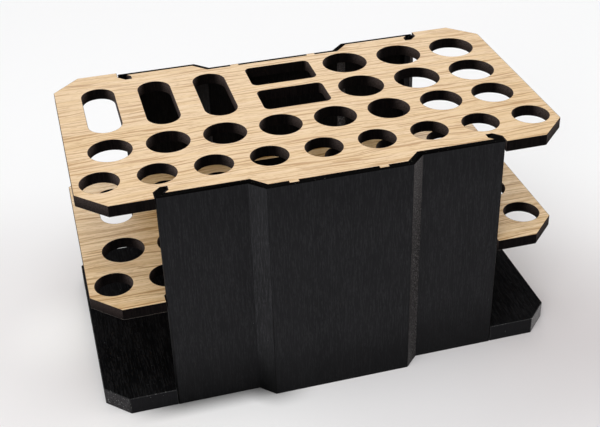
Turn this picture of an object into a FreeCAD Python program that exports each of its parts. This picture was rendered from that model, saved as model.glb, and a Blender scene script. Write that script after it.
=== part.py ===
import FreeCAD, Part
import math
import os

import Sketcher

# Hobby workstation organizer: a snap-together rack for small tools.
#
# Two shelves with rows of openings and a solid base plate are held between a front and a
# rear panel. Each panel is a folded sheet: hook, wing, 45 degree step, centre face, step,
# wing, hook. The hooked ends snap into slots in the long edges of the three plates, and
# two tabs on each long edge of a plate key into blind sockets in the panel's centre face.
#
# Millimetres, +Z up, front towards -Y. The origin lies on the table, in the middle of the
# rack's footprint.

V = FreeCAD.Vector
doc = FreeCAD.newDocument("organizer")

# ---------------------------------------------------------------- driving dimensions
SIZES = {
    # plates
    "plate_length": 214.5,
    "plate_depth": 118.8,
    "shelf_thickness": 5.2,
    "shelf_chamfer": 12.4,
    "base_thickness": 8.6,
    "base_chamfer": 10.2,
    # levels above the table
    "rack_height": 110.4,
    "middle_shelf_top": 58.3,
    # folded panels
    "panel_width": 151.2,
    "panel_sheet": 3.2,
    "centre_width": 63.2,
    "step_depth": 6.3,
    "nose_depth": 4.7,
    "flange_length": 4.3,
    "fold_radius": 0.6,
    "rear_panel_drop": 0.9,
    # fits between the plates and the panels
    "seat_clearance": 0.1,
    "hook_clearance": 0.5,
    "base_hook_clearance": 0.1,
    "tab_clearance": 0.1,
    # tabs on the long edges of the plates
    "tab_spacing": 38.8,
    "tab_width": 4.3,
    "tab_length": 1.6,
    # four evenly spaced rows of openings: small, medium, and two of windows
    "row_count": 4,
    "first_row_inset": 19.2,
    "last_row_inset": 24.5,
    # front row of small round openings
    "small_diameter": 16.6,
    "small_count": 9,
    "small_end_inset": 11.25,
    # second row, of medium round openings
    "medium_diameter": 19.1,
    "medium_count": 8,
    "medium_end_inset": 18.8,
    # rectangular windows in the middle of the third and fourth rows
    "window_length": 31.6,
    "window_depth": 19.1,
    "window_radius": 2.9,
    "window_count": 2,
    "middle_window_depth": 17.4,
    # grid of large round openings at the right, from the third row back: its last row is
    # level with the windows on the middle shelf, and a little further back on the top one
    "large_diameter": 21.4,
    "large_columns": 3,
    "large_rows": 2,
    "large_rear_inset": 23.2,
    "large_end_inset": 18.8,
    "large_to_window": 6.3,
    # round-ended slots at the left, level with the middle of the large grid
    "slot_width": 15.2,
    "slot_length": 43.6,
    "slot_count": 3,
    "slot_end_inset": 19.6,
    "slot_to_window": 11.4,
    "middle_slot_length": 31.6,
}

sheet = doc.addObject("Spreadsheet::Sheet", "sizes")
for row, (alias, size) in enumerate(SIZES.items(), start=1):
    sheet.set("A%d" % row, alias)
    sheet.set("B%d" % row, str(size))
    sheet.setAlias("B%d" % row, alias)
doc.recompute()

# ---------------------------------------------------------------- shared expressions
# A corner in plan is a pair of expressions: X from the middle of the rack towards its
# right end, and an inset from the plates' long edge into the rack. The panels' wings lie
# flush with that edge, so the panels and their seats share the same insets.
HALF_LENGTH = "sizes.plate_length / 2"
HALF_DEPTH = "sizes.plate_depth / 2"
HALF_PANEL = "sizes.panel_width / 2"
SHEET = "sizes.panel_sheet"
SEAT = "(sizes.panel_sheet + sizes.seat_clearance)"

# The folds are 45 degrees. A face parallel to a folded one, at some distance from it, has
# its fold shifted along the face by that distance times MITRE.
MITRE = "tan(22.5 deg)"
DIAGONAL = "cos(45 deg)"
CENTRE_FOLD = "sizes.centre_width / 2"
WING_FOLD = "(sizes.centre_width / 2 + sizes.step_depth)"

# Far edge of the hook's flange: its outer corner and its inner corner.
FLANGE_X = f"({HALF_PANEL} - sizes.flange_length * {DIAGONAL})"
FLANGE_INSET = f"(sizes.nose_depth + sizes.flange_length * {DIAGONAL})"
FLANGE_INNER_X = f"({FLANGE_X} - {SHEET} * {DIAGONAL})"
FLANGE_INNER_INSET = f"({FLANGE_INSET} - {SHEET} * {DIAGONAL})"

# The front panel's centre face steps out of the rack and the rear panel's steps into it.
OUT_OF_RACK = "1"
INTO_RACK = "-1"


def evaluate(expression):
    """The present value of an expression, as a plain number."""
    value = sheet.evalExpression(expression)
    return float(getattr(value, "Value", value))


def panel_outline(step):
    """Right half of a panel in plan: outer face, hook, then inner face back to the middle."""
    centre_inset = f"-({step}) * sizes.step_depth"
    fold_shift = f"({step}) * {SHEET} * {MITRE}"
    return [
        ("0", centre_inset),
        (CENTRE_FOLD, centre_inset),
        (WING_FOLD, "0"),
        (HALF_PANEL, "0"),
        (HALF_PANEL, "sizes.nose_depth"),
        (FLANGE_X, FLANGE_INSET),
        (FLANGE_INNER_X, FLANGE_INNER_INSET),
        (f"{HALF_PANEL} + sizes.nose_depth - {SHEET} / {MITRE}", SHEET),
        (f"{WING_FOLD} - {fold_shift}", SHEET),
        (f"{CENTRE_FOLD} - {fold_shift}", f"{centre_inset} + {SHEET}"),
        ("0", f"{centre_inset} + {SHEET}"),
    ]


def seat_outline(step, gap):
    """Right half of a plate's long edge, where a panel sits: middle, tab, folds, hook slot.

    The hook slot clears the panel's hook by the given gap.
    """
    centre_inset = f"{SEAT} - ({step}) * sizes.step_depth"
    tab_inset = f"{centre_inset} - sizes.tab_length"
    tab_near_x = "(sizes.tab_spacing - sizes.tab_width) / 2"
    tab_far_x = "(sizes.tab_spacing + sizes.tab_width) / 2"
    fold_shift = f"({step}) * {SEAT} * {MITRE}"
    slot_side_x = f"{HALF_PANEL} + {gap}"
    slot_end_x = f"{FLANGE_INNER_X} - {gap}"
    slot_end_inset = f"{FLANGE_INSET} + {gap}"
    return [
        ("0", centre_inset),
        (tab_near_x, centre_inset),
        (tab_near_x, tab_inset),
        (tab_far_x, tab_inset),
        (tab_far_x, centre_inset),
        (f"{CENTRE_FOLD} - {fold_shift}", centre_inset),
        (f"{WING_FOLD} - {fold_shift}", SEAT),
        (f"{FLANGE_INNER_X} + {FLANGE_INNER_INSET} - {gap} / {DIAGONAL} - {SEAT}", SEAT),
        (slot_end_x, f"{FLANGE_INNER_INSET} - {gap} * {MITRE}"),
        (slot_end_x, slot_end_inset),
        (f"{FLANGE_X} + {gap} * {MITRE}", slot_end_inset),
        (slot_side_x, f"sizes.nose_depth + {gap} * {MITRE}"),
        (slot_side_x, "0"),
        (HALF_LENGTH, "0"),
    ]


# ---------------------------------------------------------------- sketches
# The sketcher's own numbers: the points of an element, and a sketch's axes and origin.
START, END, CENTRE = range(1, 4)
HORIZONTAL_AXIS, VERTICAL_AXIS = range(-1, -3, -1)
ORIGIN = (-1, 1)


def origin_plane(body, role):
    """One of the body's own origin planes, found by its role."""
    planes = [feature for feature in body.Origin.OriginFeatures if feature.Role == role]
    return planes[0]


def new_sketch(body, name, role="XY_Plane"):
    """An empty sketch on one of the body's origin planes."""
    sketch = body.newObject("Sketcher::SketchObject", name)
    sketch.AttachmentSupport = [(origin_plane(body, role), "")]
    sketch.MapMode = "FlatFace"
    return sketch


def bind_point(sketch, element, vertex, corner):
    """Ties one point of a sketch element to a pair of expressions."""
    axes = (("DistanceX", VERTICAL_AXIS), ("DistanceY", HORIZONTAL_AXIS))
    for (kind, zero_axis), expression in zip(axes, corner):
        if expression == "0":
            on_axis = Sketcher.Constraint("PointOnObject", element, vertex, zero_axis)
            sketch.addConstraint(on_axis)
            continue
        distance = Sketcher.Constraint(kind, *ORIGIN, element, vertex, evaluate(expression))
        index = sketch.addConstraint(distance)
        sketch.setExpression("Constraints[%d]" % index, expression)


def bind_radius(sketch, element, expression):
    """Ties the radius of a circle or arc to an expression."""
    index = sketch.addConstraint(Sketcher.Constraint("Radius", element, evaluate(expression)))
    sketch.setExpression("Constraints[%d]" % index, expression)


def add_polygon(sketch, corners):
    """Adds a closed polygon whose corners are pairs of expressions."""
    places = [V(evaluate(x), evaluate(y), 0) for x, y in corners]
    lines = [
        sketch.addGeometry(Part.LineSegment(start, end), False)
        for start, end in zip(places, places[1:] + places[:1])
    ]
    for line, following in zip(lines, lines[1:] + lines[:1]):
        sketch.addConstraint(Sketcher.Constraint("Coincident", line, END, following, START))
    for line, corner in zip(lines, corners):
        bind_point(sketch, line, START, corner)


def add_circle(sketch, x, y, radius):
    """Adds a circle, its centre and radius given as expressions."""
    centre = V(evaluate(x), evaluate(y), 0)
    circle = sketch.addGeometry(Part.Circle(centre, V(0, 0, 1), evaluate(radius)), False)
    bind_point(sketch, circle, CENTRE, (x, y))
    bind_radius(sketch, circle, radius)


def add_rounded_loop(sketch, centres, radius):
    """Adds equal arcs around the given centres, joined by tangent sides into a closed loop.

    The centres are pairs of expressions and run anticlockwise from the front left: two for
    a round-ended slot along Y, four for a rounded rectangle.
    """
    turn = 2 * math.pi / len(centres)
    middles = [V(evaluate(x), evaluate(y), 0) for x, y in centres]
    arcs = []
    sides = []
    for corner, middle in enumerate(middles):
        start = math.pi + turn * corner
        end = start + turn
        rounding = Part.Circle(middle, V(0, 0, 1), evaluate(radius))
        arcs.append(sketch.addGeometry(Part.ArcOfCircle(rounding, start, end), False))
        outward = V(math.cos(end), math.sin(end), 0) * evaluate(radius)
        following = middles[(corner + 1) % len(middles)]
        side = Part.LineSegment(middle + outward, following + outward)
        sides.append(sketch.addGeometry(side, False))
    for arc, side, following, centre in zip(arcs, sides, arcs[1:] + arcs[:1], centres):
        sketch.addConstraint(Sketcher.Constraint("Tangent", arc, END, side, START))
        sketch.addConstraint(Sketcher.Constraint("Tangent", side, END, following, START))
        bind_point(sketch, arc, CENTRE, centre)
        bind_radius(sketch, arc, radius)


# ---------------------------------------------------------------- features
# How near an edge lies to the place where it is looked for.
EDGE_TOLERANCE = 0.01


def new_body(name):
    """A body whose label names the sub-part."""
    body = doc.addObject("PartDesign::Body", name)
    body.Label = name
    return body


def pad_half(body, corners, height):
    """Raises the right half of an outline and mirrors it to the left."""
    outline = new_sketch(body, "outline")
    add_polygon(outline, corners)
    pad = body.newObject("PartDesign::Pad", "right_half")
    pad.Profile = outline
    pad.setExpression("Length", height)
    mirror(body, pad)


def cut(body, sketch, depth=None):
    """Cuts a sketch into the body, along the sketch's normal: to a depth or right through."""
    doc.recompute()
    uncut_volume = body.Shape.Volume
    pocket = body.newObject("PartDesign::Pocket", sketch.Name + "_cut")
    pocket.Profile = sketch
    pocket.Reversed = True
    if depth is None:
        pocket.Type = "ThroughAll"
    else:
        pocket.setExpression("Length", depth)
    doc.recompute()
    if not body.Shape.Volume < uncut_volume:
        raise ValueError(f"{pocket.Name} cuts nothing from {body.Label}")
    return pocket


def mirror(body, feature):
    """Repeats a feature on the other side of the rack's middle."""
    mirrored = body.newObject("PartDesign::Mirrored", feature.Name + "_mirrored")
    mirrored.Originals = [feature]
    mirrored.MirrorPlane = (origin_plane(body, "YZ_Plane"), [""])
    body.Tip = mirrored


def repeat_cut(body, pocket, *repeats):
    """Repeats a cut along one or two axes, each given as an axis, a count and a span."""
    sketch = pocket.Profile[0]
    pattern = body.newObject("PartDesign::LinearPattern", sketch.Name + "_pattern")
    pattern.Originals = [pocket]
    for suffix, (axis, count, span) in zip(("", "2"), repeats):
        setattr(pattern, "Direction" + suffix, (sketch, [axis]))
        pattern.setExpression("Length" + suffix, span)
        pattern.setExpression("Occurrences" + suffix, count)
    body.Tip = pattern


def dress_upright_edges(body, kind, name, corners, parameter, size):
    """Chamfers or rounds the upright edges at the given corners, left and right alike."""
    doc.recompute()
    base = body.Tip
    height = base.Shape.BoundBox.ZLength
    places = [V(evaluate(x), evaluate(y), 0) for x, y in corners]
    edges = []
    for number, edge in enumerate(base.Shape.Edges, start=1):
        middle = edge.BoundBox.Center
        on_right = V(abs(middle.x), middle.y, 0)
        upright = edge.BoundBox.ZLength > height - EDGE_TOLERANCE
        if upright and any(on_right.isEqual(place, EDGE_TOLERANCE) for place in places):
            edges.append("Edge%d" % number)
    dressed = body.newObject(kind, name)
    dressed.Base = (base, edges)
    dressed.setExpression(parameter, size)
    body.Tip = dressed


# ---------------------------------------------------------------- plates
def cut_tool_openings(body, window_depth, slot_length, large_rear_inset):
    """Cuts a shelf's openings for tools. The two shelves differ in the sizes that are given."""
    left = f"-{HALF_LENGTH}"
    first_row = f"(sizes.first_row_inset - {HALF_DEPTH})"
    last_row = f"({HALF_DEPTH} - sizes.last_row_inset)"
    row_pitch = f"({last_row} - {first_row}) / (sizes.row_count - 1)"
    third_row = f"({last_row} - {row_pitch})"

    small = new_sketch(body, "small_hole")
    add_circle(small, f"{left} + sizes.small_end_inset", first_row, "sizes.small_diameter / 2")
    small_span = "sizes.plate_length - 2 * sizes.small_end_inset"
    repeat_cut(body, cut(body, small), ("H_Axis", "sizes.small_count", small_span))

    medium = new_sketch(body, "medium_hole")
    medium_y = f"{first_row} + {row_pitch}"
    add_circle(medium, f"{left} + sizes.medium_end_inset", medium_y, "sizes.medium_diameter / 2")
    medium_span = "sizes.plate_length - 2 * sizes.medium_end_inset"
    repeat_cut(body, cut(body, medium), ("H_Axis", "sizes.medium_count", medium_span))

    window = new_sketch(body, "window")
    reach_x = "(sizes.window_length / 2 - sizes.window_radius)"
    reach_y = f"({window_depth} / 2 - sizes.window_radius)"
    window_corners = [
        (f"-{reach_x}", f"{third_row} - {reach_y}"),
        (reach_x, f"{third_row} - {reach_y}"),
        (reach_x, f"{third_row} + {reach_y}"),
        (f"-{reach_x}", f"{third_row} + {reach_y}"),
    ]
    add_rounded_loop(window, window_corners, "sizes.window_radius")
    repeat_cut(body, cut(body, window), ("V_Axis", "sizes.window_count", row_pitch))

    large = new_sketch(body, "large_hole")
    large_radius = "sizes.large_diameter / 2"
    large_x = f"(sizes.window_length / 2 + sizes.large_to_window + {large_radius})"
    columns_span = f"{HALF_LENGTH} - sizes.large_end_inset - {large_x}"
    rows_span = f"({HALF_DEPTH} - {large_rear_inset} - {third_row})"
    add_circle(large, large_x, third_row, large_radius)
    columns = ("H_Axis", "sizes.large_columns", columns_span)
    rows = ("V_Axis", "sizes.large_rows", rows_span)
    repeat_cut(body, cut(body, large), columns, rows)

    slot = new_sketch(body, "tool_slot")
    slot_radius = "sizes.slot_width / 2"
    slot_x = f"({left} + sizes.slot_end_inset)"
    slot_y = f"({third_row} + {HALF_DEPTH} - sizes.large_rear_inset) / 2"
    reach = f"({slot_length} - sizes.slot_width) / 2"
    slot_ends = [(slot_x, f"{slot_y} - {reach}"), (slot_x, f"{slot_y} + {reach}")]
    add_rounded_loop(slot, slot_ends, slot_radius)
    last_slot_x = f"(-sizes.window_length / 2 - sizes.slot_to_window - {slot_radius})"
    repeat_cut(body, cut(body, slot), ("H_Axis", "sizes.slot_count", f"{last_slot_x} - {slot_x}"))


def make_plate(name, thickness, chamfer, level, hook_gap):
    """A plate with chamfered corners and a panel seat along each long edge."""
    body = new_body(name)
    front_seat = seat_outline(OUT_OF_RACK, hook_gap)
    rear_seat = seat_outline(INTO_RACK, hook_gap)
    front = [(x, f"{inset} - {HALF_DEPTH}") for x, inset in front_seat]
    rear = [(x, f"{HALF_DEPTH} - ({inset})") for x, inset in rear_seat]
    pad_half(body, front + rear[::-1], thickness)
    corners = [front[-1], rear[-1]]
    dress_upright_edges(body, "PartDesign::Chamfer", "corner_chamfers", corners, "Size", chamfer)
    # The front panel's step moves the middle of the footprint forward by half its depth.
    body.setExpression("Placement.Base.y", "sizes.step_depth / 2")
    body.setExpression("Placement.Base.z", level)
    return body


def make_shelf(name, top, *opening_sizes):
    """A plate with openings for tools, its upper face at the given level."""
    shelf = make_plate(
        name,
        "sizes.shelf_thickness",
        "sizes.shelf_chamfer",
        f"{top} - sizes.shelf_thickness",
        "sizes.hook_clearance",
    )
    cut_tool_openings(shelf, *opening_sizes)
    return shelf


# ---------------------------------------------------------------- panels
def cut_tab_sockets(body, step, height):
    """Cuts blind sockets in the centre face's inner side, for the tabs of the three plates."""
    sockets = new_sketch(body, "tab_sockets", "XZ_Plane")
    # The sketch's normal is -Y, out of the rack, so its offset is the inset's opposite.
    sockets.setExpression("AttachmentOffset.Base.z", f"({step}) * sizes.step_depth - {SHEET}")
    clearance = "sizes.tab_clearance"
    near_x = f"(sizes.tab_spacing - sizes.tab_width) / 2 - {clearance}"
    far_x = f"(sizes.tab_spacing + sizes.tab_width) / 2 + {clearance}"
    middle_underside = "sizes.middle_shelf_top - sizes.shelf_thickness"
    top_underside = "sizes.rack_height - sizes.shelf_thickness"
    levels = [
        ("0", f"sizes.base_thickness + {clearance}"),
        (f"{middle_underside} - {clearance}", f"sizes.middle_shelf_top + {clearance}"),
        (f"{top_underside} - {clearance}", height),
    ]
    for bottom, top in levels:
        add_polygon(sockets, [(near_x, bottom), (far_x, bottom), (far_x, top), (near_x, top)])
    mirror(body, cut(body, sockets, f"sizes.tab_length + {clearance}"))


def make_panel(name, step, height):
    """A folded panel that stands on the table and is snapped onto all three plates."""
    body = new_body(name)
    outline = panel_outline(step)
    pad_half(body, outline, height)
    cut_tab_sockets(body, step, height)
    outer_centre_fold, outer_wing_fold, end, nose = outline[1:5]
    inner_wing_fold, inner_centre_fold = outline[8:10]
    if step == OUT_OF_RACK:
        rounded = [outer_centre_fold, inner_wing_fold, end, nose]
    else:
        rounded = [outer_wing_fold, inner_centre_fold, end, nose]
    dress_upright_edges(body, "PartDesign::Fillet", "rounded_folds", rounded, "Radius", "sizes.fold_radius")
    return body


# ---------------------------------------------------------------- assembly
base_plate = make_plate(
    "base_plate",
    "sizes.base_thickness",
    "sizes.base_chamfer",
    "0",
    "sizes.base_hook_clearance",
)
middle_shelf = make_shelf(
    "middle_shelf",
    "sizes.middle_shelf_top",
    "sizes.middle_window_depth",
    "sizes.middle_slot_length",
    "sizes.last_row_inset",
)
top_shelf = make_shelf(
    "top_shelf",
    "sizes.rack_height",
    "sizes.window_depth",
    "sizes.slot_length",
    "sizes.large_rear_inset",
)

front_panel = make_panel("front_panel", OUT_OF_RACK, "sizes.rack_height")
front_panel.setExpression("Placement.Base.y", f"sizes.step_depth / 2 - {HALF_DEPTH}")

# The rear panel ends a little below the top shelf's upper face.
rear_panel = make_panel("rear_panel", INTO_RACK, "sizes.rack_height - sizes.rear_panel_drop")
rear_panel.Placement = FreeCAD.Placement(V(0, 0, 0), FreeCAD.Rotation(V(0, 0, 1), 180))
rear_panel.setExpression("Placement.Base.y", f"sizes.step_depth / 2 + {HALF_DEPTH}")

doc.recompute()
sub_parts = [base_plate, middle_shelf, top_shelf, front_panel, rear_panel]
for item in doc.Objects:
    if "Invalid" in item.State or "Error" in item.State:
        raise ValueError(f"{item.Label} failed: {item.State}")
for sub_part in sub_parts:
    if sub_part.Shape.isNull() or not sub_part.Shape.isValid():
        raise ValueError(f"{sub_part.Label} has no valid shape")

os.makedirs("parts", exist_ok=True)
for sub_part in sub_parts:
    sub_part.Shape.exportStep(os.path.join("parts", sub_part.Label + ".step"))
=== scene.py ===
import math

import bmesh
import bpy
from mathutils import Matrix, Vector


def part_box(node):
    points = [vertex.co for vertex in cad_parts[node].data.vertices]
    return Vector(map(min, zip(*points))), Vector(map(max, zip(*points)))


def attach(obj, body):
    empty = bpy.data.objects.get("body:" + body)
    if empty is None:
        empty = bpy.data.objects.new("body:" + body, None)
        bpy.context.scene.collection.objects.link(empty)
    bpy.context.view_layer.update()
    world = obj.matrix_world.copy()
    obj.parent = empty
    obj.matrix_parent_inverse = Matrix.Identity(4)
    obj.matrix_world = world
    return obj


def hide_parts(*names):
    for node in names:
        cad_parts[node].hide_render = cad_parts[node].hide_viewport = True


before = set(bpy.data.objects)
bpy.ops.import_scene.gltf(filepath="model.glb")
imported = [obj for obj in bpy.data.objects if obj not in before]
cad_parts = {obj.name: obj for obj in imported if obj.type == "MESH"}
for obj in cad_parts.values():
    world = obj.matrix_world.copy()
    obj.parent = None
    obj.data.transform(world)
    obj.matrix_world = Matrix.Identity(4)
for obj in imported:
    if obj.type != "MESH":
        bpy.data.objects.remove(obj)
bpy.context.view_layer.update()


# ---------------------------------------------------------------- camera
# A medium-long lens looks down on the rack from the front left, a little rolled. The image
# is 600 x 427, and the lens axis lies a little off its middle.
view_camera = bpy.data.objects.new("camera", bpy.data.cameras.new("camera"))
bpy.context.scene.collection.objects.link(view_camera)
bpy.context.scene.camera = view_camera
view_camera.location = (-0.11365, -0.43735, 0.35045)
view_camera.rotation_euler = [math.radians(turn) for turn in (57.558, 1.326, -15.466)]
view_camera.data.sensor_width = 36
view_camera.data.lens = 67.26
view_camera.data.shift_x = -0.0077
view_camera.data.shift_y = -0.0302
view_camera.data.clip_start = 0.01
bpy.context.scene.view_settings.view_transform = "Standard"


# ---------------------------------------------------------------- table and studio
# The rack stands on a wide pale sweep of paper, painted whiter towards its far end and
# darker near the rack as painted shade, with painted pools of light and shadow and a painted
# contact shadow on it. A bright even tent surrounds it. The main softbox hangs overhead,
# weaker ones at the front left and behind, and a low one stands at the right.
PAPER_SIZE = 12
PAPER_NEAR = (0.86, 0.845, 0.85, 1)
PAPER_FAR = (0.965, 0.965, 0.97, 1)
# The paper is painted whiter along this level direction, between these distances from the
# middle, so that the paper near the rack stands darker as painted shade.
PAPER_DEPTH_DIRECTION = (0.229, 0.973, 0)
WHITER_FROM = 0.020
WHITER_TO = 0.135
# Soft round pools of painted light and painted shadow on the near paper, each over the ones
# before it: middle, radius and tone. The two pale ones are painted light, the dark one at
# the right a painted shadow.
PAPER_POOLS = (((-0.060, -0.080, 0), 0.095, (0.985, 0.98, 0.98, 1)),
               ((-0.116, 0.010, 0), 0.042, (0.985, 0.98, 0.98, 1)),
               ((0.125, -0.070, 0), 0.110, (0.66, 0.63, 0.635, 1)))
# A contact shadow is painted on the paper where the foot of the left wing and its step stand
# close by: fully near the middle of the painted shadow, and not at all from its radius. What
# stands within reach shades a place on the paper, and the power deepens it.
FOOT_SHADE_MIDDLE = (-0.056, -0.058, 0)
FOOT_SHADE_FULL = 0.016
FOOT_SHADE_RADIUS = 0.046
FOOT_SHADE_REACH = 0.010
FOOT_SHADE_POWER = 2.0
BLACK = (0, 0, 0, 1)
WHITE = (1, 1, 1, 1)


def add_node(tree, kind, settings=(), **inputs):
    """Adds a shader node.

    Settings are its own properties. An input is a value or another node's output; its label
    is a socket's name, or "in" and the socket's number.
    """
    node = tree.nodes.new(kind)
    for setting, value in dict(settings).items():
        setattr(node, setting, value)
    for label, value in inputs.items():
        socket = node.inputs[int(label[2:])] if label.startswith("in") else node.inputs[label]
        if isinstance(value, bpy.types.NodeSocket):
            tree.links.new(value, socket)
        else:
            socket.default_value = value
    return node


def ramp(tree, value, low, high, to_low=0.0, to_high=1.0):
    """Maps low..high smoothly to to_low..to_high, and holds it outside."""
    limits = {"From Min": low, "From Max": high, "To Min": to_low, "To Max": to_high}
    return add_node(tree, "ShaderNodeMapRange", {"interpolation_type": "SMOOTHSTEP"},
                    Value=value, **limits).outputs["Result"]


def calculate(tree, operation, first, second=0.0):
    """A sum, product or other operation on two values or outputs."""
    return add_node(tree, "ShaderNodeMath", {"operation": operation},
                    in0=first, in1=second).outputs[0]


def calculate_vector(tree, operation, first, second):
    """An operation on two vectors: a vector, or a number for a distance or a dot product."""
    node = add_node(tree, "ShaderNodeVectorMath", {"operation": operation},
                    in0=first, in1=second)
    return node.outputs["Value" if operation in ("DISTANCE", "DOT_PRODUCT") else "Vector"]


def blend_colour(tree, share, first, second):
    """From the first colour at a share of 0 to the second at 1."""
    # A mix node has one set of sockets for each kind of data; these are those for colours.
    return add_node(tree, "ShaderNodeMix", {"data_type": "RGBA"},
                    in0=share, in6=first, in7=second).outputs[2]


paper_material = bpy.data.materials.new("studio_paper")
paper_material.use_nodes = True
tree = paper_material.node_tree
place = add_node(tree, "ShaderNodeNewGeometry").outputs["Position"]
near_tone = PAPER_NEAR
# The pools of painted light and painted shadow go over the near paper.
for middle, radius, pool_tone in PAPER_POOLS:
    distance = calculate_vector(tree, "DISTANCE", place, middle)
    near_tone = blend_colour(tree, ramp(tree, distance, 0, radius), pool_tone, near_tone)
# Painted contact shadow, from what stands within reach of the paper.
near_foot = add_node(tree, "ShaderNodeAmbientOcclusion", Distance=FOOT_SHADE_REACH)
foot_light = calculate(tree, "POWER", near_foot.outputs["AO"], FOOT_SHADE_POWER)
foot_tone = blend_colour(tree, foot_light, BLACK, near_tone)
distance = calculate_vector(tree, "DISTANCE", place, FOOT_SHADE_MIDDLE)
near_tone = blend_colour(tree, ramp(tree, distance, FOOT_SHADE_FULL, FOOT_SHADE_RADIUS),
                         foot_tone, near_tone)
# Painted light and shade: whiter away from the rack, darker near it.
depth = calculate_vector(tree, "DOT_PRODUCT", place, PAPER_DEPTH_DIRECTION)
paper_tone = blend_colour(tree, ramp(tree, depth, WHITER_FROM, WHITER_TO),
                          near_tone, PAPER_FAR)
shader = tree.nodes["Principled BSDF"]
shader.inputs["Roughness"].default_value = 0.9
shader.inputs["Specular IOR Level"].default_value = 0.04
tree.links.new(paper_tone, shader.inputs["Base Color"])

paper_mesh = bpy.data.meshes.new("paper_sweep")
half_paper = PAPER_SIZE / 2
paper_corners = [(-half_paper, -half_paper, 0), (half_paper, -half_paper, 0),
                 (half_paper, half_paper, 0), (-half_paper, half_paper, 0)]
paper_mesh.from_pydata(paper_corners, [], [(0, 1, 2, 3)])
paper_mesh.materials.append(paper_material)
paper = bpy.data.objects.new("paper_sweep", paper_mesh)
bpy.context.scene.collection.objects.link(paper)

studio = bpy.data.worlds.new("studio")
bpy.context.scene.world = studio
studio.use_nodes = True
tree = studio.node_tree
tent = tree.nodes["Background"]
tent.inputs["Color"].default_value = WHITE
tent.inputs["Strength"].default_value = 0.41
backdrop = add_node(tree, "ShaderNodeBackground", Color=(0.95, 0.95, 0.955, 1), Strength=1)
rays = add_node(tree, "ShaderNodeLightPath").outputs
sees_backdrop = rays["Is Camera Ray"]
for kind_of_ray in ("Is Glossy Ray", "Is Transmission Ray"):
    sees_backdrop = calculate(tree, "MAXIMUM", sees_backdrop, rays[kind_of_ray])
surroundings = add_node(tree, "ShaderNodeMixShader", Fac=sees_backdrop,
                        in1=tent.outputs["Background"], in2=backdrop.outputs["Background"])
tree.links.new(surroundings.outputs["Shader"], tree.nodes["World Output"].inputs["Surface"])


def softbox(name, place, aim, side, power):
    """A square area lamp at a place, turned to a point."""
    lamp = bpy.data.lights.new(name, "AREA")
    lamp.size = side
    lamp.energy = power
    holder = bpy.data.objects.new(name, lamp)
    holder.location = place
    holder.rotation_mode = "QUATERNION"
    holder.rotation_quaternion = (Vector(aim) - Vector(place)).to_track_quat("-Z", "Y")
    bpy.context.scene.collection.objects.link(holder)


softbox("overhead_softbox", (-0.20, -0.25, 1.50), aim=(0, 0, 0.05), side=1.0, power=9.8)
softbox("left_softbox", (-0.85, -1.05, 0.95), aim=(0, 0, 0.05), side=0.8, power=6.5)
softbox("back_softbox", (0.25, 1.25, 0.90), aim=(0, 0, 0.08), side=0.9, power=4.5)
softbox("right_softbox", (1.00, -0.35, 0.22), aim=(0, 0, 0.06), side=0.6, power=3.5)


# ---------------------------------------------------------------- base plate
# A solid board, stained black. Its face keeps the strokes of the sanding from front to
# back; the sawn corners stay greyer, the front right one painted much paler as lit from the
# right, and its arrises carry a painted highlight, a little lighter.
MM = 0.001
# Corners nearer than this are one, faces that turn less than FLAT are one flat, and edges
# that turn more than ARRIS are eased.
WELD = 1e-6
FLAT = math.radians(1)
ARRIS = math.radians(30)
EASING_STEPS = 2
ROUND_PROFILE = 0.5
AREA_WEIGHT = 100
# A face is level where its normal's upright share is larger than this, and diagonal where
# both of its level shares are.
NORMAL_SHARE = 0.5


def is_level(face):
    """Whether a face looks up or down."""
    return abs(face.normal.z) > NORMAL_SHARE


def is_diagonal(face):
    """Whether an upright face stands aslant to the rack's length and depth."""
    return min(abs(face.normal.x), abs(face.normal.y)) > NORMAL_SHARE


def eased_copy(node_name, ease, materials, dress, rim=None, sharp_slot=None):
    """A copy of a node whose flat faces are whole and whose outer arrises are eased.

    dress picks a face's material slot, told whether the face is an eased arris. A rim, given
    as (width, slot), lies along every border of the faces of the first slot. Faces of the
    sharp slot keep their sharp edges.
    """
    mesh = bmesh.new()
    mesh.from_mesh(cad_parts[node_name].data)
    bmesh.ops.remove_doubles(mesh, verts=mesh.verts, dist=WELD)
    bmesh.ops.dissolve_limit(mesh, angle_limit=FLAT, verts=mesh.verts, edges=mesh.edges)
    for face in mesh.faces:
        face.material_index = dress(face, False)
        face.smooth = True
    if rim:
        rim_width, rim_slot = rim
        faces = [face for face in mesh.faces if face.material_index == 0]
        border = bmesh.ops.inset_region(mesh, faces=faces, thickness=rim_width,
                                        use_boundary=True, use_even_offset=True)
        for face in border["faces"]:
            face.material_index = rim_slot
    arrises = [edge for edge in mesh.edges
               if edge.is_convex and edge.calc_face_angle(0) > ARRIS
               and sharp_slot not in [face.material_index for face in edge.link_faces]]
    easing = bmesh.ops.bevel(mesh, geom=arrises, offset=ease, segments=EASING_STEPS,
                             profile=ROUND_PROFILE, affect="EDGES", clamp_overlap=True)
    mesh.normal_update()
    for face in easing["faces"]:
        face.material_index = dress(face, True)
        face.smooth = True
    eased = bpy.data.meshes.new(node_name + "_finished")
    mesh.to_mesh(eased)
    mesh.free()
    # Stored normals belong to the faces as they were before the easing.
    stored_normals = eased.attributes.get("custom_normal")
    if stored_normals:
        eased.attributes.remove(stored_normals)
    for material in materials:
        eased.materials.append(material)
    piece = bpy.data.objects.new(node_name + "_finished", eased)
    bpy.context.scene.collection.objects.link(piece)
    flatten = piece.modifiers.new("flat_faces", "WEIGHTED_NORMAL")
    flatten.mode = "FACE_AREA"
    flatten.weight = AREA_WEIGHT
    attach(piece, "root")
    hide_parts(node_name)
    return piece


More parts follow.
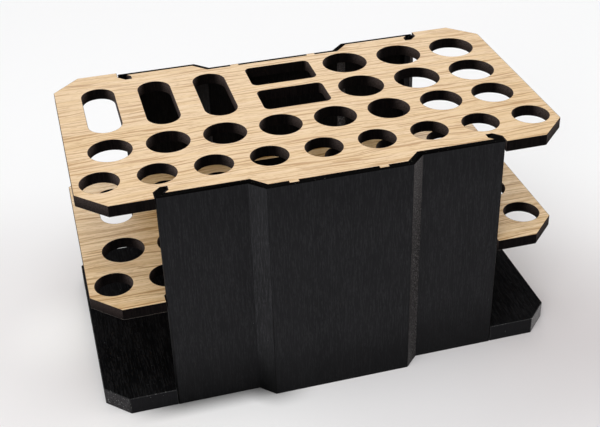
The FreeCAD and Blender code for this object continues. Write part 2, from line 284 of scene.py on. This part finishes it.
def new_group(name, inputs, outputs):
    """An empty shader group, with its inputs as (name, kind, start value)."""
    group = bpy.data.node_groups.new(name, "ShaderNodeTree")
    for label, kind, value in inputs:
        socket = group.interface.new_socket(label, in_out="INPUT", socket_type=kind)
        socket.default_value = value
    for label, kind in outputs:
        group.interface.new_socket(label, in_out="OUTPUT", socket_type=kind)
    return group, group.nodes.new("NodeGroupInput"), group.nodes.new("NodeGroupOutput")


# Each seed moves the noise this many cells along X, Y and Z.
SEED_SHIFT = (7.3, 3.1, 5.7)


def stretched_noise(tree, place, cell_mm, detail=2, roughness=0.5, seed=0):
    """Noise whose cells measure the given millimetres along X, Y and Z; 0 to 1, middle 0.5."""
    cells = calculate_vector(tree, "MULTIPLY", place, [1 / (size * MM) for size in cell_mm])
    shifted = calculate_vector(tree, "ADD", cells, [seed * shift for shift in SEED_SHIFT])
    noise = add_node(tree, "ShaderNodeTexNoise", Vector=shifted, Scale=1, Detail=detail,
                     Roughness=roughness)
    return noise.outputs[0]


# Brushed coat: short strokes along one axis, with fine specks on a dark coat: dust, and on
# the cut top edges and the steps that face right also painted glints. An upright panel's coat
# has painted shade near its foot and a little below its top, and its steps have painted
# light that grows towards the top. These are the heights between which each of them changes.
FOOT_FADES = (2 * MM, 34 * MM)
BELOW_TOP_DARKENS = (80 * MM, 106 * MM)
WEAR_GROWS = (70 * MM, 112 * MM)
DUST_SOFTNESS = 0.04
brushed, brushed_in, brushed_out = new_group(
    "brushed_coat",
    [("Place", "NodeSocketVector", (0, 0, 0)),
     ("Coat", "NodeSocketColor", (0.02, 0.02, 0.02, 1)),
     ("Stroke colour", "NodeSocketColor", (0.06, 0.06, 0.06, 1)),
     ("Stroke strength", "NodeSocketFloat", 0.3),
     ("Dust colour", "NodeSocketColor", (0.3, 0.3, 0.3, 1)),
     ("Dust level", "NodeSocketFloat", 0.8),
     ("End shade", "NodeSocketFloat", 0.0),
     ("Top wear", "NodeSocketFloat", 0.0)],
    [("Colour", "NodeSocketColor"), ("Height", "NodeSocketFloat"),
     ("Roughness", "NodeSocketFloat")])
coat_look = brushed_in.outputs
place = coat_look["Place"]
long_strokes = stretched_noise(brushed, place, (0.40, 0.40, 7), roughness=0.6)
short_strokes = stretched_noise(brushed, place, (0.36, 0.36, 1.9), seed=3)
patches = stretched_noise(brushed, place, (16, 16, 30), seed=5)
grit = stretched_noise(brushed, place, (0.5, 0.5, 0.6), detail=1, seed=9)
strokes = calculate(brushed, "MULTIPLY", ramp(brushed, long_strokes, low=0.42, high=0.62),
                    ramp(brushed, short_strokes, low=0.30, high=0.60))
stroke_share = calculate(brushed, "MULTIPLY", strokes, coat_look["Stroke strength"])
patch_share = ramp(brushed, patches, low=0.3, high=0.7, to_high=0.10)
# Specks of dust, and on some coats painted glints.
dust_full = calculate(brushed, "ADD", coat_look["Dust level"], DUST_SOFTNESS)
dust = ramp(brushed, grit, low=coat_look["Dust level"], high=dust_full)
level = add_node(brushed, "ShaderNodeSeparateXYZ", in0=place).outputs["Z"]
# Painted light on the steps, growing towards the top.
worn = ramp(brushed, level, *WEAR_GROWS, to_high=0.45)
worn_share = calculate(brushed, "MULTIPLY", worn, coat_look["Top wear"])
# Painted shade near the foot and below the top of an upright panel.
shade = calculate(brushed, "ADD", ramp(brushed, level, *FOOT_FADES, to_low=1.0, to_high=0.0),
                  ramp(brushed, level, *BELOW_TOP_DARKENS, to_high=0.35))
shade_share = calculate(brushed, "MULTIPLY", shade, coat_look["End shade"])
coat_tone = coat_look["Coat"]
for share, tone in ((patch_share, coat_look["Stroke colour"]),
                    (stroke_share, coat_look["Stroke colour"]),
                    (dust, coat_look["Dust colour"]),
                    (worn_share, coat_look["Stroke colour"]),
                    (shade_share, BLACK)):
    coat_tone = blend_colour(brushed, share, coat_tone, tone)
coat_roughness = ramp(brushed, long_strokes, low=0.3, high=0.7, to_low=0.5, to_high=0.68)
brushed.links.new(coat_tone, brushed_out.inputs["Colour"])
brushed.links.new(calculate(brushed, "ADD", strokes, dust), brushed_out.inputs["Height"])
brushed.links.new(coat_roughness, brushed_out.inputs["Roughness"])


def add_relief(tree, strength, depth_mm, height):
    """Bump on a material's shader, as deep as the given millimetres."""
    relief = add_node(tree, "ShaderNodeBump", Strength=strength, Distance=depth_mm * MM,
                      Height=height)
    tree.links.new(relief.outputs["Normal"], tree.nodes["Principled BSDF"].inputs["Normal"])


def coated_material(name, turn, bump_mm, gloss, **look):
    """A dark brushed coat.

    Turn, in degrees about X, Y and Z, puts its strokes along the piece. Look gives values to
    the brushed coat's inputs.
    """
    material = bpy.data.materials.new(name)
    material.use_nodes = True
    tree = material.node_tree
    own_place = add_node(tree, "ShaderNodeTexCoord").outputs["Object"]
    turned = add_node(tree, "ShaderNodeMapping", Vector=own_place,
                      Rotation=[math.radians(angle) for angle in turn]).outputs[0]
    coat = add_node(tree, "ShaderNodeGroup", {"node_tree": brushed}, Place=turned)
    for label, value in look.items():
        coat.inputs[label.replace("_", " ").capitalize()].default_value = value
    shader = tree.nodes["Principled BSDF"]
    shader.inputs["Specular IOR Level"].default_value = gloss
    tree.links.new(coat.outputs["Colour"], shader.inputs["Base Color"])
    tree.links.new(coat.outputs["Roughness"], shader.inputs["Roughness"])
    add_relief(tree, strength=0.6, depth_mm=bump_mm, height=coat.outputs["Height"])
    return material


BASE_EASE = 0.3 * MM
FRONT_TO_BACK = (90, 0, 0)
UPRIGHT = (0, 0, 0)
BASE_FACE, STRAIGHT_EDGE, SAWN_CORNER, WORN_CORNER, RUBBED_ARRIS = range(5)
base_materials = [
    coated_material(
        "stained_board_face", FRONT_TO_BACK, bump_mm=0.03, gloss=0.004,
        coat=(0.0022, 0.0022, 0.0025, 1), stroke_colour=(0.021, 0.021, 0.022, 1),
        stroke_strength=0.5, dust_level=0.78, dust_colour=(0.10, 0.10, 0.10, 1)),
    coated_material(
        "stained_board_edge", UPRIGHT, bump_mm=0.03, gloss=0.05,
        coat=(0.0068, 0.0068, 0.0076, 1), stroke_colour=(0.013, 0.013, 0.0145, 1),
        stroke_strength=0.5, dust_level=0.8),
    coated_material(
        "sawn_board_corner", UPRIGHT, bump_mm=0.06, gloss=0.12,
        coat=(0.0135, 0.0125, 0.0135, 1), stroke_colour=(0.050, 0.046, 0.050, 1),
        stroke_strength=0.8, dust_level=0.66),
    # Painted light: the front right corner's coat is much paler, as lit from the right.
    coated_material(
        "worn_board_corner", UPRIGHT, bump_mm=0.06, gloss=0.12,
        coat=(0.098, 0.094, 0.095, 1), stroke_colour=(0.21, 0.205, 0.205, 1),
        stroke_strength=0.9, dust_level=0.64),
    # Painted highlight on the eased arrises of the base.
    coated_material(
        "rubbed_board_arris", UPRIGHT, bump_mm=0.03, gloss=0.08,
        coat=(0.010, 0.010, 0.011, 1), stroke_colour=(0.05, 0.05, 0.05, 1),
        stroke_strength=0.7, dust_level=0.7)]


def dress_base(face, eased):
    """Face, straight edge, sawn corner, or the front right corner painted much paler as lit
    from the right, of the base.
    """
    if eased:
        return RUBBED_ARRIS
    if is_level(face):
        return BASE_FACE
    if not is_diagonal(face):
        return STRAIGHT_EDGE
    return WORN_CORNER if face.normal.x > 0 > face.normal.y else SAWN_CORNER


base = eased_copy("base_plate", BASE_EASE, base_materials, dress_base)


# ---------------------------------------------------------------- shelves
# Two boards with a light open-grained wood face, the grain along the rack. All edges and
# openings are cut by laser and char smooth and black; cuts across the grain are painted
# lighter, a speckled greyish brown, as painted light that grows towards the top of the cut,
# and a thin scorched rim runs round each of them.
SHELF_EASE = 0.12 * MM
SCORCH_WIDTH = 0.20 * MM
low_corner, high_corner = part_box("top_shelf")
SHELF_THICKNESS = high_corner.z - low_corner.z
SHELF_SIDE = high_corner.x
# The boards reach furthest forward behind the panel's fold; this is their open front edge.
OPEN_EDGE_FROM = 90 * MM
SHELF_FRONT = min(corner.co.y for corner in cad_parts["top_shelf"].data.vertices
                  if abs(corner.co.x) > OPEN_EDGE_FROM)
# An arris is part of the outline where it lies within OUTLINE_BAND of the side or the front.
# Along a corner's chamfer, its distances from both add up to less than CHAMFER_BAND. It is a
# lower one where its normal's upright share is under LOOKS_DOWN.
OUTLINE_BAND = 0.5 * MM
CHAMFER_BAND = 13 * MM
LOOKS_DOWN = -0.2
WOOD_FACE, CUT_EDGE, SCORCHED_RIM, LOWER_ARRIS = range(4)

# Wood grain: bands and dark lines along X that wander up to this far aside, with fibres and
# open pores. Lines, fibres and pores take this much of the streak colour at their strongest.
WANDER = 2.2 * MM
LINE_STRENGTH = 0.8
FIBRE_STRENGTH = 0.34
PORE_STRENGTH = 0.4
grain, grain_in, grain_out = new_group(
    "wood_grain",
    [("Place", "NodeSocketVector", (0, 0, 0)),
     ("Light wood", "NodeSocketColor", (0.8, 0.6, 0.4, 1)),
     ("Dark wood", "NodeSocketColor", (0.6, 0.4, 0.25, 1)),
     ("Streak", "NodeSocketColor", (0.5, 0.3, 0.16, 1))],
    [("Colour", "NodeSocketColor"), ("Height", "NodeSocketFloat"),
     ("Roughness", "NodeSocketFloat")])
wood_look = grain_in.outputs
drift = stretched_noise(grain, wood_look["Place"], (70, 22, 40))
wander = ramp(grain, drift, low=0.2, high=0.8, to_low=-WANDER, to_high=WANDER)
aside = add_node(grain, "ShaderNodeCombineXYZ", Y=wander).outputs[0]
place = calculate_vector(grain, "ADD", wood_look["Place"], aside)
bands = stretched_noise(grain, place, (140, 3.0, 30), detail=3, roughness=0.6, seed=1)
lines = stretched_noise(grain, place, (34, 1.15, 20), detail=1, seed=2)
zones = stretched_noise(grain, place, (60, 9, 30), detail=1, seed=4)
fibres = stretched_noise(grain, place, (8, 0.5, 5), roughness=0.6, seed=3)
pores = stretched_noise(grain, place, (3.2, 0.5, 2), detail=1, seed=6)
line_mask = calculate(grain, "MULTIPLY", ramp(grain, lines, low=0.54, high=0.60),
                      ramp(grain, zones, low=0.36, high=0.54, to_low=0.5))
line_share = calculate(grain, "MULTIPLY", line_mask, LINE_STRENGTH)
fibre_share = ramp(grain, fibres, low=0.40, high=0.72, to_high=FIBRE_STRENGTH)
pore_share = ramp(grain, pores, low=0.58, high=0.68, to_high=PORE_STRENGTH)
wood = blend_colour(grain, ramp(grain, bands, low=0.32, high=0.68),
                    wood_look["Light wood"], wood_look["Dark wood"])
for share in (line_share, fibre_share, pore_share):
    wood = blend_colour(grain, share, wood, wood_look["Streak"])
sunk = calculate(grain, "ADD", line_mask, pore_share)
wood_roughness = ramp(grain, bands, low=0.3, high=0.7, to_low=0.38, to_high=0.46)
grain.links.new(wood, grain_out.inputs["Colour"])
grain.links.new(calculate(grain, "SUBTRACT", fibres, sunk), grain_out.inputs["Height"])
grain.links.new(wood_roughness, grain_out.inputs["Roughness"])


def wood_material(name, sheet_place, light_wood, dark_wood, streak):
    """The grained face of a board, its rim or its arris, from its own place in the wood."""
    material = bpy.data.materials.new(name)
    material.use_nodes = True
    tree = material.node_tree
    own_place = add_node(tree, "ShaderNodeTexCoord").outputs["Object"]
    cut_place = calculate_vector(tree, "ADD", own_place, sheet_place)
    wood_face = add_node(tree, "ShaderNodeGroup", {"node_tree": grain}, Place=cut_place,
                         **{"Light wood": light_wood, "Dark wood": dark_wood, "Streak": streak})
    shader = tree.nodes["Principled BSDF"]
    shader.inputs["Specular IOR Level"].default_value = 0.6
    tree.links.new(wood_face.outputs["Colour"], shader.inputs["Base Color"])
    tree.links.new(wood_face.outputs["Roughness"], shader.inputs["Roughness"])
    add_relief(tree, strength=0.5, depth_mm=0.03, height=wood_face.outputs["Height"])
    return material


CHAR_HOLLOW = (0.0030, 0.0025, 0.0026, 1)
CHAR_RIDGE = (0.0068, 0.0054, 0.0051, 1)
BROWN_FLECK = (0.030, 0.015, 0.012, 1)


def charred_material(name, underside, ash):
    """A laser-cut edge: smooth black along the grain; across it painted light, a speckled brown
    ash tone.
    """
    material = bpy.data.materials.new(name)
    material.use_nodes = True
    tree = material.node_tree
    own = add_node(tree, "ShaderNodeTexCoord").outputs
    flutes = stretched_noise(tree, own["Object"], (0.7, 0.7, 9), roughness=0.6)
    flecks = stretched_noise(tree, own["Object"], (0.55, 0.55, 0.5), roughness=0.6, seed=2)
    # Painted light: faces cut across the grain get a paler speckled tone, growing up the cut.
    facing = add_node(tree, "ShaderNodeSeparateXYZ", in0=own["Normal"]).outputs["X"]
    across_grain = ramp(tree, calculate(tree, "ABSOLUTE", facing), low=0.45, high=1.02)
    height = add_node(tree, "ShaderNodeSeparateXYZ", in0=own["Object"]).outputs["Z"]
    up_the_cut = ramp(tree, height, underside, underside + SHELF_THICKNESS, to_low=0.35)
    speckle = ramp(tree, flecks, low=0.30, high=0.62, to_low=0.35)
    ash_share = calculate(tree, "MULTIPLY", across_grain, up_the_cut)
    ash_share = calculate(tree, "MULTIPLY", ash_share, speckle)
    fleck_share = ramp(tree, flecks, low=0.60, high=0.70, to_high=0.4)
    char = blend_colour(tree, ramp(tree, flutes, low=0.35, high=0.7), CHAR_HOLLOW, CHAR_RIDGE)
    char = blend_colour(tree, fleck_share, char, BROWN_FLECK)
    char = blend_colour(tree, ash_share, char, ash)
    char_roughness = ramp(tree, flutes, low=0.3, high=0.7, to_low=0.55, to_high=0.75)
    shader = tree.nodes["Principled BSDF"]
    shader.inputs["Specular IOR Level"].default_value = 0.01
    tree.links.new(char, shader.inputs["Base Color"])
    tree.links.new(char_roughness, shader.inputs["Roughness"])
    add_relief(tree, strength=0.7, depth_mm=0.06, height=calculate(tree, "ADD", flutes, flecks))
    return material


def dress_shelf(face, eased):
    """Grained face, charred edge or paler lower outer arris of a shelf."""
    middle = face.calc_center_median()
    from_side = SHELF_SIDE - abs(middle.x)
    from_front = middle.y - SHELF_FRONT
    on_outline = (min(from_side, from_front) < OUTLINE_BAND
                  or from_side + from_front < CHAMFER_BAND)
    if eased and on_outline and face.normal.z < LOOKS_DOWN:
        return LOWER_ARRIS
    return CUT_EDGE if eased or not is_level(face) else WOOD_FACE


# Each shelf has its own place in the wood, its own light wood and its own ash tone. The
# middle shelf's light wood is painted paler than the top's, as painted light under the top
# shelf, and its ash tone darker, as painted shade in its openings. Light wood, dark wood and
# streak are the three tones of a face, of its rim and of its lower arris.
DARK_WOOD_AND_STREAK = ((0.69, 0.475, 0.24, 1), (0.37, 0.18, 0.03, 1))
SCORCHED_TONES = ((0.30, 0.165, 0.075, 1), (0.22, 0.115, 0.05, 1), (0.12, 0.06, 0.03, 1))
ARRIS_TONES = ((0.20, 0.165, 0.14, 1), (0.14, 0.115, 0.095, 1), (0.05, 0.04, 0.035, 1))
for shelf_name, sheet_place, light_wood, ash in (
        # Middle shelf: paler light wood as painted light, darker ash tone as painted shade.
        ("middle_shelf", (0.31, 0.12, 0.4), (0.87, 0.66, 0.40, 1), (0.09, 0.068, 0.062, 1)),
        ("top_shelf", (0, 0, 0), (0.725, 0.513, 0.290, 1), (0.118, 0.091, 0.083, 1))):
    shelf_materials = [
        wood_material(shelf_name + "_wood", sheet_place, light_wood, *DARK_WOOD_AND_STREAK),
        charred_material(shelf_name + "_cut_edge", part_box(shelf_name)[0].z, ash),
        wood_material(shelf_name + "_scorched_rim", sheet_place, *SCORCHED_TONES),
        wood_material(shelf_name + "_lower_arris", sheet_place, *ARRIS_TONES)]
    shelf = eased_copy(shelf_name, SHELF_EASE, shelf_materials, dress_shelf,
                       rim=(SCORCH_WIDTH, SCORCHED_RIM))


# ---------------------------------------------------------------- panels
# The front and rear panels are folded sheets with a black coat, brushed upright. Their cut
# top edges are blacker, with gold-grey specks as painted glints. The steps are painted
# lighter than the outer faces, as lit from the sides; those that face right are grainier and
# painted lighter still. The inner faces are painted darker, as painted shade, and the
# upright ends of the wings carry a painted highlight.
PANEL_EASE = 0.25 * MM
# The painted highlights on the wings' ends lie on arrises within a millimetre of the panel's
# sides.
END_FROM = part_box("front_panel")[1].x - 1 * MM
OUTER_FACE, SMOOTH_STEP, GRAINY_STEP, SHEET_EDGE, END_ARRIS, INNER_FACE = range(6)
panel_materials = [
    # Outer faces: painted shade near the foot and below the top.
    coated_material(
        "panel_face", UPRIGHT, bump_mm=0.02, gloss=0.04,
        coat=(0.0116, 0.0116, 0.0127, 1), stroke_colour=(0.0270, 0.0270, 0.0288, 1),
        stroke_strength=0.6, dust_level=0.84, end_shade=0.5),
    # Steps that face left: coat painted lighter than the outer faces, as lit from the side.
    coated_material(
        "panel_smooth_step", UPRIGHT, bump_mm=0.02, gloss=0.05,
        coat=(0.0150, 0.0150, 0.0164, 1), stroke_colour=(0.050, 0.050, 0.054, 1),
        stroke_strength=0.6, dust_level=0.80, end_shade=0.85, top_wear=0.45),
    # Steps that face right: grainy, and painted lighter still with paler specks, as lit from
    # the right.
    coated_material(
        "panel_grainy_step", UPRIGHT, bump_mm=0.05, gloss=0.08,
        coat=(0.0085, 0.0075, 0.0078, 1), stroke_colour=(0.066, 0.060, 0.060, 1),
        stroke_strength=0.27, dust_level=0.60, dust_colour=(0.11, 0.104, 0.102, 1),
        top_wear=1.0),
    # Cut top edges: near black, with gold-grey specks as painted glints.
    coated_material(
        "panel_cut_edge", UPRIGHT, bump_mm=0.03, gloss=0.002,
        coat=(0.0010, 0.0009, 0.0009, 1), stroke_colour=(0.006, 0.0055, 0.0055, 1),
        stroke_strength=0.5, dust_level=0.76, dust_colour=(0.20, 0.19, 0.15, 1)),
    # Painted highlight on the wings' upright ends, faded by painted shade at the foot.
    coated_material(
        "panel_arris", UPRIGHT, bump_mm=0.02, gloss=0.12,
        coat=(0.030, 0.030, 0.030, 1), stroke_colour=(0.09, 0.09, 0.085, 1),
        stroke_strength=0.6, dust_level=0.72, end_shade=1.0),
    # Inner faces: coat painted darker, as painted shade inside the rack.
    coated_material(
        "panel_inner_face", UPRIGHT, bump_mm=0.02, gloss=0.015,
        coat=(0.0034, 0.0032, 0.0032, 1), stroke_colour=(0.012, 0.0115, 0.0115, 1),
        stroke_strength=0.6, dust_level=0.84)]


def dress_panel(face, eased):
    """Outer or inner face, step that faces left or right, cut edge, or upright end with a
    painted highlight.
    """
    middle = face.calc_center_median()
    if is_level(face):
        return SHEET_EDGE
    if eased and abs(middle.x) > END_FROM:
        return END_ARRIS
    if not is_diagonal(face):
        return INNER_FACE if face.normal.y * middle.y < 0 else OUTER_FACE
    return GRAINY_STEP if face.normal.x > 0 else SMOOTH_STEP


for panel_name in ("front_panel", "rear_panel"):
    panel = eased_copy(panel_name, PANEL_EASE, panel_materials, dress_panel,
                       sharp_slot=SHEET_EDGE)
